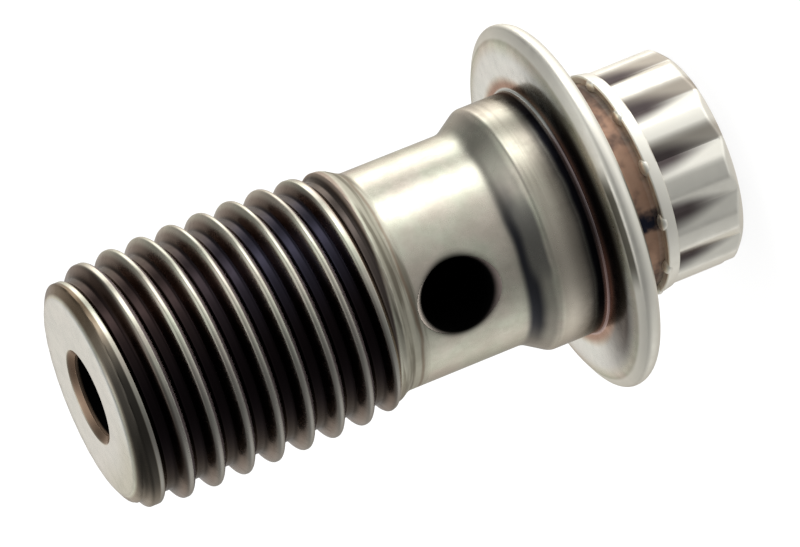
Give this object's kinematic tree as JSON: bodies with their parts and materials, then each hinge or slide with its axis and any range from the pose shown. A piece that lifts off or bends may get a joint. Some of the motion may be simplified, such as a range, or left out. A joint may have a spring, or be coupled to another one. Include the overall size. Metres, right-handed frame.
{
  "type": "banjo bolt",
  "caption": "Hollow banjo bolt: threaded shank with an axial bore and a cross hole, a rounded flange and a splined wrench head, for clamping a banjo fitting to a port.",
  "frame": {"origin": "centre of the head's end face, on the bolt's axis", "axes": "+Z along the bolt's axis from the head to the threaded tip, +X along the cross hole; the bolt stands on its head"},
  "size_m": [0.0148, 0.0148, 0.0259],
  "materials": {
    "steel": "satin turned and rolled stainless steel, stained brown in the neck"
  },
  "bodies": {
    "root": {"banjo_bolt": "steel"}
  },
  "joints": []
}
